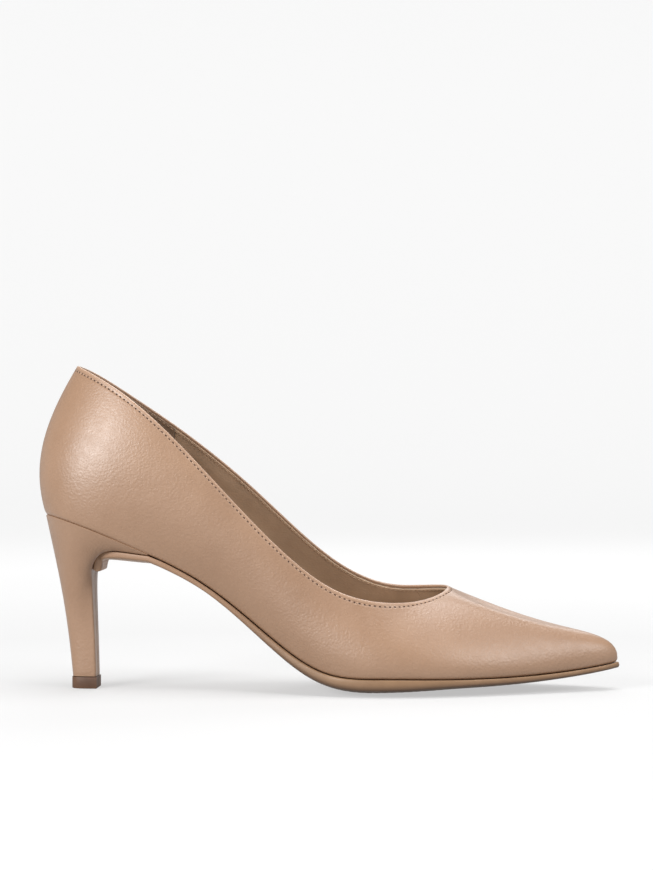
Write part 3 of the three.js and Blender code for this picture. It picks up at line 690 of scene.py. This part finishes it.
linings = {
    "thickness": 0.7, "below": 1.3, "topDepth": 1.47, "columnsPerRow": 13, "levels": 34,
    "atSides": 1.75, "overStiffener": 2.2, "leanFrom": 1.6, "leanOver": 7, "lowest": 1.6,
    "wrinkle": 0.32, "gripWrinkle": 0.25, "bevel": 0.14,
    "cornerDepth": 0.3, "underFrom": 1.1, "underLeast": 0.7,
    "pieces": [
        ("vamp_lining", 8.003, 13.997, "lining"), ("outer_quarter_lining", 2.788, 7.997, "lining"),
        ("inner_quarter_lining", 14.003, 19.212, "lining"), ("heel_grip", -2.774, 2.774, "grip"),
    ],
}


def liningDepth(around):
    row = np.mod(around, rowCount)
    fromBack = np.minimum(row, rowCount - row)
    deep = np.maximum(1 - ease(fromBack - 3.5), ease(fromBack - toeRow + 4))
    return mix(linings["atSides"], linings["overStiffener"], deep)


def wrinkled(points, drop, height, strength):  # soft creases low on the wall, where the lining is drawn in
    push = np.zeros(points.shape[:2])
    for k in np.ndindex(push.shape):
        x, y, z = points[k]
        broad = noise.noise(Vector((x * 0.05, y * 0.05, z * 0.22 + x * 0.06)))
        push[k] = broad + 0.5 * noise.noise(Vector((x * 0.16, 7 + y * 0.1, z * 0.5)))
    return strength * push * ease((drop - 7) / 12) * ease(height / 4)


def makeLinings():
    for name, firstRow, lastRow, kind in linings["pieces"]:
        around = np.linspace(firstRow, lastRow, round((lastRow - firstRow) * linings["columnsPerRow"]) + 1)
        wide = around[:, None]
        depth = liningDepth(wide)
        bottom = wallLengths(around)[1][:, -1:]
        shares = 1 - (1 - np.linspace(0, 1, linings["levels"])[None, :]) ** 1.2
        lowest = bottom - linings["lowest"]
        drop = mix(lowest, linings["below"], shares)
        lean = mix(linings["topDepth"], depth, ease((drop - linings["leanFrom"]) / linings["leanOver"]))
        smoothLine, out = onWall(wide, upBelow(around, drop), lean)
        strength = linings["wrinkle"] * (linings["gripWrinkle"] if kind == "grip" else 1)
        push = wrinkled(smoothLine, drop, lowest - drop, strength)
        rising = smoothLine - out * push[..., None]
        margin = np.maximum(marginAt(wide), depth + linings["underLeast"])
        under = np.linspace(0, 1, 4)[None, :]
        insets = mix(margin, depth + linings["underFrom"], under)
        low = raised(insetEdge(wide, insets), depth + 0 * insets)
        cornerDepth = depth + linings["cornerDepth"]
        corner = insetEdge(wide, cornerDepth)
        corner[..., 2] += cornerDepth
        skin = gridSkin(name + "_skin", np.concatenate([low, corner, rising], axis=1))
        thicken(skin, linings["thickness"], linings["bevel"], 55, even=False)
        complete(skin, finishes[kind], [name], smooth=50)


# Stitches along the topline: in the channel outside, with dark discs between as painted shade in the needle
# holes, and on the linings inside.

stitching = {
    "pitch": 2.2, "length": 1.5, "width": 0.52, "height": 0.2, "proud": 0.03,
    "hole": (1.2, 0.85), "holeHeight": 0.05, "holeTop": 0.8,
}


def pathPoints(around, drop, depth):  # even places along the wall, the ways along and out, and the pitch
    line, out = onWall(around, upBelow(around, drop[:, None])[:, 0], depth)
    steps = np.linalg.norm(np.diff(line, axis=0), axis=1)
    walked = np.concatenate([[0], np.cumsum(steps)])
    count = round(walked[-1] / stitching["pitch"])
    spots = (np.arange(count) + 0.5) * walked[-1] / count

    def sample(values, where):
        return np.stack([np.interp(where, walked, values[:, k]) for k in range(3)], axis=-1)

    ahead = unit(sample(line, spots + 0.4) - sample(line, spots - 0.4))
    return sample(line, spots), ahead, unit(sample(out, spots)), walked[-1] / count


def oneStitch():
    pick()
    bpy.ops.mesh.primitive_uv_sphere_add(segments=8, ring_count=6, radius=1)
    stitch = bpy.context.object
    bpy.ops.object.mode_set(mode="EDIT")
    bpy.ops.mesh.select_all(action="SELECT")
    half = (stitching["length"] / 2 * mm, stitching["width"] / 2 * mm, stitching["height"] * mm)
    bpy.ops.transform.rotate(value=math.pi / 2, orient_axis="Y", center_override=(0, 0, 0))
    bpy.ops.transform.resize(value=half)
    bpy.ops.object.mode_set(mode="OBJECT")
    return stitch


# a dark disc laid on the leather: painted shade in a needle hole
def oneHole():
    pick()
    bpy.ops.mesh.primitive_circle_add(vertices=10, radius=mm / 2, fill_type="TRIFAN")
    hole = bpy.context.object
    bpy.ops.object.mode_set(mode="EDIT")
    bpy.ops.mesh.select_all(action="SELECT")
    bpy.ops.transform.resize(value=(*stitching["hole"], 1))
    bpy.ops.mesh.extrude_region_move(TRANSFORM_OT_translate={"value": (0, 0, stitching["holeHeight"] * mm)})
    bpy.ops.transform.resize(value=(stitching["holeTop"], stitching["holeTop"], 1))
    bpy.ops.mesh.select_all(action="SELECT")
    bpy.ops.mesh.normals_make_consistent(inside=False)
    bpy.ops.object.mode_set(mode="OBJECT")
    return hole


def scatter(name, model, places, finish):  # copies of one model, each with its own mesh, joined
    copies = []
    for place, ahead, away in places:
        side = np.cross(away, ahead)
        frameHere = Matrix(np.array([ahead, side / np.linalg.norm(side), away]).T.tolist()).to_4x4()
        frameHere.translation = Vector(place * mm)
        copy = model.copy()
        copy.data = model.data.copy()
        copy.data.transform(frameHere)
        bpy.context.collection.objects.link(copy)
        copies.append(copy)
    pick(*copies)
    bpy.ops.object.join()
    whole = bpy.context.object
    whole.name = whole.data.name = name
    complete(whole, finish, smooth=60)


def makeStitches():
    stitch, hole = oneStitch(), oneHole()
    around = np.linspace(0, rowCount, 1600)
    flat = 0 * around
    insideDepth = linings["topDepth"] + linings["thickness"] + stitching["proud"]
    runs = [("outside", upper["channel"], 1, "thread"), ("inside", insideDepth, -1, "lining")]
    for side, depth, facing, finish in runs:
        place, ahead, out, pitch = pathPoints(around, flat + upper["stitchLine"], depth + flat)
        out = out * facing
        scatter("topline_stitches_" + side, stitch, zip(place, ahead, out), finishes[finish])
        if side == "outside":
            between = place + ahead * pitch / 2
            scatter("needle_hole_shades", hole, zip(between, ahead, out), finishes["hole"])
    for model in (stitch, hole):
        bpy.data.objects.remove(model)


# Inside: the sock over its two foam pads.

sock = {
    "insoleTop": 4.9, "gap": 0.3, "thickness": 0.8, "bevel": 0.2, "curl": 0.7,
    "rows": 150, "columns": 30, "fromRow": 0.02, "toRow": 10.1, "liningClear": 0.12, "edgeUp": 5.6,
    "pads": [(-125, 2.1), (-85, 2.1), (-62, 0.3), (-20, 0.3), (2, 2.1), (50, 2.1), (75, 0.3), (125, 0.3)],
}
cushions = {
    "pieces": [("ball_cushion", 5.7, 8.3), ("heel_cushion", 0.7, 2.9)],
    "inset": 5.4, "rows": 26, "columns": 20, "clear": 0.1,
}


def sockEdge(around):  # where the sock meets the lining
    depth = liningDepth(around) + linings["thickness"] + sock["liningClear"]
    lengths = wallLengths(around)[1][:, -1:]
    up = upBelow(around, lengths - sock["edgeUp"])[:, 0]
    return onWall(around, up, depth)[0]


def makeSock():
    around = np.linspace(sock["fromRow"], sock["toRow"], sock["rows"])
    outer, inner = sockEdge(around), sockEdge(rowCount - around)
    t = 0.5 - 0.5 * np.cos(np.linspace(0, math.pi, sock["columns"]))
    flat = mix(outer[:, None], inner[:, None], t[None, :, None])
    pads = along(sock["pads"], flat[..., 0])
    curl = sock["curl"] * np.abs(2 * t - 1) ** 10
    height = sock["insoleTop"] + sock["gap"] + pads + sock["thickness"] + curl[None, :]
    skin = gridSkin("sock_skin", raised(flat, height)[:, ::-1])
    thicken(skin, sock["thickness"], sock["bevel"], 55)
    complete(skin, finishes["sock"], ["sock_lining"], smooth=50)


def makeCushions():
    columns = cushions["columns"]
    for name, firstRow, lastRow in cushions["pieces"]:
        s = np.linspace(0, 1, cushions["rows"])
        around = mix(firstRow, lastRow, s)
        outer, inner = (insetEdge(side, cushions["inset"]) for side in (around, rowCount - around))
        t = np.concatenate([np.linspace(0, 1, columns), np.linspace(1, 0, columns)])
        top = np.arange(2 * columns) < columns
        flat = mix(outer[:, None], inner[:, None], t[None, :, None])
        crown = (1 - np.abs(2 * t - 1) ** 5)[None, :] * (1 - np.abs(2 * s - 1) ** 5)[:, None]
        low = sock["insoleTop"] + sock["gap"]
        clear = cushions["clear"]
        thick = np.maximum(along(sock["pads"], flat[..., 0]) - sock["gap"] - clear, clear)
        points = raised(flat, low + np.where(top[None, :], crown * thick, 0))
        skin = gridSkin(name + "_pad", np.concatenate([points, points[:, :1]], axis=1)[:, ::-1])
        complete(skin, finishes["foam"], [name], smooth=60)


# The sole: a shaped edge round the forepart and waist, and a flap down the breast of the heel.

sole = {
    "along": [
        (-100, 2.4), (-72, 2.4), (-48, 2.2), (-22, 3.1), (-4, 4), (15, 4.7), (32, 4.4), (58, 2.9), (85, 2.4),
        (125, 2.1),
    ],
    "gap": 0.4, "proud": 0.5, "leavesUpper": 3.25, "flapEnd": 0.59, "flapThickness": 3.7, "flapStart": 2.4,
    "flapRows": 26, "flapBulb": 0.021, "flapWidth": 12,
    "edge": [  # how far in from the edge, and how far down as a share of the thickness
        (3.0, 0), (1.2, 0), (0.45, 0), (0.15, 0.05), (0, 0.16), (0, 0.36),
        (0, 0.56), (0.06, 0.74), (0.25, 0.87), (0.6, 0.96), (1.2, 1), (3.0, 1),
    ],
    "treadedRows": (9.8, 5.8),
    "groove": 0.4, "groovePitch": 3.4, "grooveWide": 0.42, "grooveSlope": 0.3, "wave": 1.3, "waveLength": 16,
    "treadFrom": 3, "treadTo": 88, "treadFade": 4, "treadInset": 2.5, "treadInsetFade": 1.5,
}
heel = {
    "axis": -106.6, "wingTip": 3.02, "seatGap": 0.4, "halfWidth": 6.1, "back": 5.6, "front": 5.2,
    "liftHeight": 5, "gap": 0.3, "cover": 0.7, "bevel": 0.18, "levels": 70, "corner": 1.0,
    "seam": 0.35, "seamWidth": 0.25,
    # The wall's two middle corners: at the breast, and as moved from the seat and the foot at the back.
    "breastPull": (-108.9, 62), "breastLow": (-102.7, 67.3), "backPull": (4.6, 22), "narrowing": (0.9, 0.52),
    "backLow": 3.2, "backLowHeight": 38, "lowWidening": 1.15, "sidePower": 1.6, "footPower": 0.85,
    "liftProud": 0.35, "liftBore": 1.55, "liftBoreFrom": 1.5,
}


def heelFoot(turn, shrink=0.0):
    angle = turn * math.pi / 2
    x = -(heel["back"] - shrink) * np.cos(angle) ** heel["footPower"]
    y = -np.sign(turn) * (heel["halfWidth"] - shrink) * np.abs(np.sin(angle)) ** heel["footPower"]
    return np.stack([heel["axis"] + x + np.abs(turn) ** 6 * (heel["front"] - shrink), y], axis=-1)


def heelWall(turn, down):
    turn, down = np.broadcast_arrays(np.asarray(turn, float), np.asarray(down, float))
    side = np.abs(turn)
    share = side ** heel["sidePower"]
    top = insetEdge(turn * heel["wingTip"], heel["seatGap"])
    top[..., 2] = bottomHeight(top[..., 0], top[..., 1]) - heel["seatGap"]
    foot = heelFoot(turn)
    (midX, midZ), (lowX, lowZ) = heel["breastPull"], heel["breastLow"]
    pullX, pullZ = heel["backPull"]
    highX, highZ = mix(top[..., 0] + pullX, midX, share), mix(top[..., 2] - pullZ, midZ, share)
    high = np.stack([highX, top[..., 1] * mix(*heel["narrowing"], side**2), highZ], axis=-1)
    lowX = mix(foot[..., 0] - heel["backLow"], lowX, side**3)
    lowZ = mix(heel["backLowHeight"], lowZ, share)
    low = np.stack([lowX, foot[..., 1] * heel["lowWidening"], lowZ], axis=-1)
    end = np.concatenate([foot, 0 * foot[..., :1] + heel["liftHeight"] + heel["gap"]], axis=-1)
    return bezier([top, high, low, end], down)


def breastAt(down, across):
    down, across = np.broadcast_arrays(np.asarray(down, float), np.asarray(across, float))
    point = mix(heelWall(-1, down), heelWall(1, down), across[..., None])
    crown = 4 * across * (1 - across) * along(last["crown"], point[..., 0])
    point[..., 2] -= crown * (1 - ease(down / sole["flapEnd"]))
    return point


def breastNormal(down):
    run = breastAt(np.minimum(down + 0.01, 1), 0.5) - breastAt(np.maximum(down - 0.01, 0), 0.5)
    return unit(np.stack([-run[..., 2], 0 * run[..., 0], run[..., 0]], axis=-1))


def closed(columns):  # the first column again at the end
    return np.concatenate([columns, columns[:, :1]], axis=1)


def makeSole():
    treadStart, treadEnd = sole["treadedRows"]
    toe = np.linspace(toeRow, treadStart, 26)
    treaded = np.linspace(treadStart, treadEnd, 170)[1:]
    waist = np.linspace(treadEnd, sole["leavesUpper"], 56)[1:]
    around = np.concatenate([toe, treaded, waist])[:, None]
    insets, drops = np.array(sole["edge"]).T
    topShare = np.linspace(1, 0, 14)[1:-1]
    treadShare = np.linspace(0, 1, 58)[1:-1]
    outerEdge = insetEdge(around, insets[None, :] - sole["proud"])
    innerEdge = insetEdge(rowCount - around, insets[None, :] - sole["proud"])

    def span(share):
        return mix(outerEdge[:, :1], innerEdge[:, :1], share[None, :, None])

    flat = np.concatenate([outerEdge, span(treadShare), innerEdge[:, ::-1], span(topShare)], axis=1)
    down = np.concatenate([drops, 1 + 0 * treadShare, drops[::-1], 0 * topShare])[None, :]
    thick = along(sole["along"], flat[..., 0])
    points = raised(flat, -sole["gap"] - down * thick)
    treadMark = np.concatenate([ease((insets - 0.5) / 2) * (drops > 0.9), 1 + 0 * treadShare])
    treadMark = np.concatenate([treadMark, treadMark[: len(insets)][::-1], 0 * topShare])[None, :]
    lowShadeMark = np.concatenate([ease((drops - 0.3) / 0.7), 0 * treadShare])  # the painted shade and stain along the lower edge
    lowShadeMark = np.concatenate([lowShadeMark, lowShadeMark[: len(insets)][::-1], 0 * topShare])[None, :]
    points[..., 2] = np.maximum(points[..., 2], 0)
    inside = np.minimum(treadShare, 1 - treadShare)
    inside = np.concatenate([0 * insets, inside, 0 * insets, 0 * topShare])[None, :]
    width = np.linalg.norm(outerEdge[:, 0] - innerEdge[:, 0], axis=1)[:, None]
    field = ease((inside * width - sole["treadInset"]) / sole["treadInsetFade"])
    field = field * ease((flat[..., 0] - sole["treadFrom"]) / sole["treadFade"])
    field = field * ease((sole["treadTo"] - flat[..., 0]) / sole["treadFade"])
    wave = flat[..., 0] + sole["wave"] * np.sin(2 * math.pi * flat[..., 1] / sole["waveLength"])
    ridge = np.abs(np.mod(wave / sole["groovePitch"], 1) - 0.5) * 2
    points[..., 2] += sole["groove"] * ease((sole["grooveWide"] - ridge) / sole["grooveSlope"]) * field
    downs = np.linspace(0, sole["flapEnd"], sole["flapRows"])
    bulb = np.radians([30, 55, 75, 90])  # the flap's end is rounded
    downs = np.concatenate([downs, sole["flapEnd"] + sole["flapBulb"] * np.sin(bulb)])[:, None]
    squeeze = np.concatenate([np.ones(sole["flapRows"]), np.cos(bulb)])[:, None]
    flapWidth = np.linalg.norm(heelWall(-1, downs) - heelWall(1, downs), axis=-1)
    edgeAcross = insets[None, :] * np.minimum(1, flapWidth / sole["flapWidth"]) / flapWidth
    low, high = edgeAcross[:, :1], 1 - edgeAcross[:, :1]
    fromTread, fromTop = (mix(high, low, share[None, :]) for share in (treadShare, topShare))
    across = np.concatenate([1 - edgeAcross, fromTread, edgeAcross[:, ::-1], fromTop], axis=1)
    thickness = mix(sole["flapStart"], sole["flapThickness"], ease(downs / sole["flapEnd"]))
    away = heel["gap"] + thickness * (0.5 + (down - 0.5) * squeeze)
    flap = breastAt(downs, across) + breastNormal(downs) * away[..., None]
    points = closed(np.concatenate([points, flap]))
    skin = gridSkin("sole_skin", points, tread=closed(treadMark), lower=closed(lowShadeMark))
    complete(skin, finishes["sole"], ["outsole"], smooth=50)


# The heel: a leather cover drawn over the block and closed down the breast, on a top lift.


def heelRing(down):  # one level of the cover, from the middle of the breast round the back
    width = np.linalg.norm(heelWall(-1, down) - heelWall(1, down))
    corner = min(heel["corner"], width / 4)
    reach = np.linalg.norm(heelWall(1, down) - heelWall(0.9, down)) / 0.1
    cut, share = corner / reach, corner / width
    turns = np.sin(np.linspace(-1, 1, 61) * math.pi / 2) * (1 - cut)
    wall = heelWall(turns, down)
    arc = np.linspace(0, 1, 6)[1:-1, None]
    corners = []
    for side, across in ((1, 1 - share), (-1, share)):
        start, sharp, end = heelWall(side * (1 - cut), down), heelWall(side, down), breastAt(down, across)
        corners.append((1 - arc) ** 2 * start + 2 * arc * (1 - arc) * sharp + arc**2 * end)
    evenly = np.concatenate([np.linspace(0, 0.47, 9), [0.485, 0.5, 0.515], np.linspace(0.53, 1, 9)])
    across = mix(1 - share, share, evenly)
    seam = heel["seam"] * np.exp(-(((across - 0.5) * width / heel["seamWidth"]) ** 2))
    front = breastAt(down, across) - breastNormal(np.asarray(down))[None, :] * seam[:, None]
    return np.concatenate([wall, corners[0], front, corners[1][::-1]])


def makeHeel():
    rings = [heelRing(down) for down in np.linspace(0, 1, heel["levels"])]
    cover = growSkin("heel_cover_skin", rings, capped=False)
    thicken(cover, heel["cover"], heel["bevel"], 60)
    complete(cover, finishes["leather"], ["heel_cover"], smooth=50)


def liftRing(shrink, z):
    turns = np.linspace(-1, 1, 45)
    outline = heelFoot(turns, shrink)
    front = mix(outline[-1], outline[0], np.linspace(0, 1, 14)[1:-1, None])
    ring = np.concatenate([outline, front])
    return np.concatenate([ring, z + 0 * ring[:, :1]], axis=1)


def makeLift():
    proud, high = -heel["liftProud"], heel["liftHeight"]
    levels = [(3.2, 0), (2.6, 0), (2.45, 0.35), (2.05, 0.35), (1.9, 0), (0.3, 0), (0.08, 0.08), (0, 0.3)]
    levels += [(0, high - 0.3), (0.08, high - 0.08), (0.3, high)]
    rings = [liftRing(proud + shrink, z) for shrink, z in levels]
    centre = np.array([heel["axis"], 0])
    boreWay = unit(rings[0][:, :2] - centre)
    for z in (high, heel["liftBoreFrom"]):
        bore = centre + boreWay * heel["liftBore"]
        rings.append(np.concatenate([bore, z + 0 * bore[:, :1]], axis=1))
    lift = growSkin("top_lift_skin", rings)
    complete(lift, finishes["lift"], ["top_lift"], smooth=40)


hidden = {
    "kinds": {
        "topline_tape": "tape", "toe_puff": "stiffener", "heel_counter": "stiffener",
        "forepart_insole": "board", "shank_board": "board", "bottom_filler": "cork", "heel_block": "plastic",
    },
    "steelWords": ("steel", "rivet", "dowel", "pin", "screw", "nail"),
}


def dressFrame():  # the hidden parts keep their shape and get their own finish
    for name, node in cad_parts.items():
        isSteel = any(word in name for word in hidden["steelWords"])
        kind = hidden["kinds"].get(name) or ("steel" if isSteel else None)
        if kind:
            node.data.materials.clear()
            node.data.materials.append(finishes[kind])


makeCamera()
makeStudio()
print("camera, floor and light")
makeUpper()
print("upper")
makeLinings()
print("linings")
makeStitches()
print("stitches")
makeSock()
makeCushions()
print("sock and pads")
makeSole()
print("sole")
makeHeel()
makeLift()
print("heel")
dressFrame()
print("frame dressed")
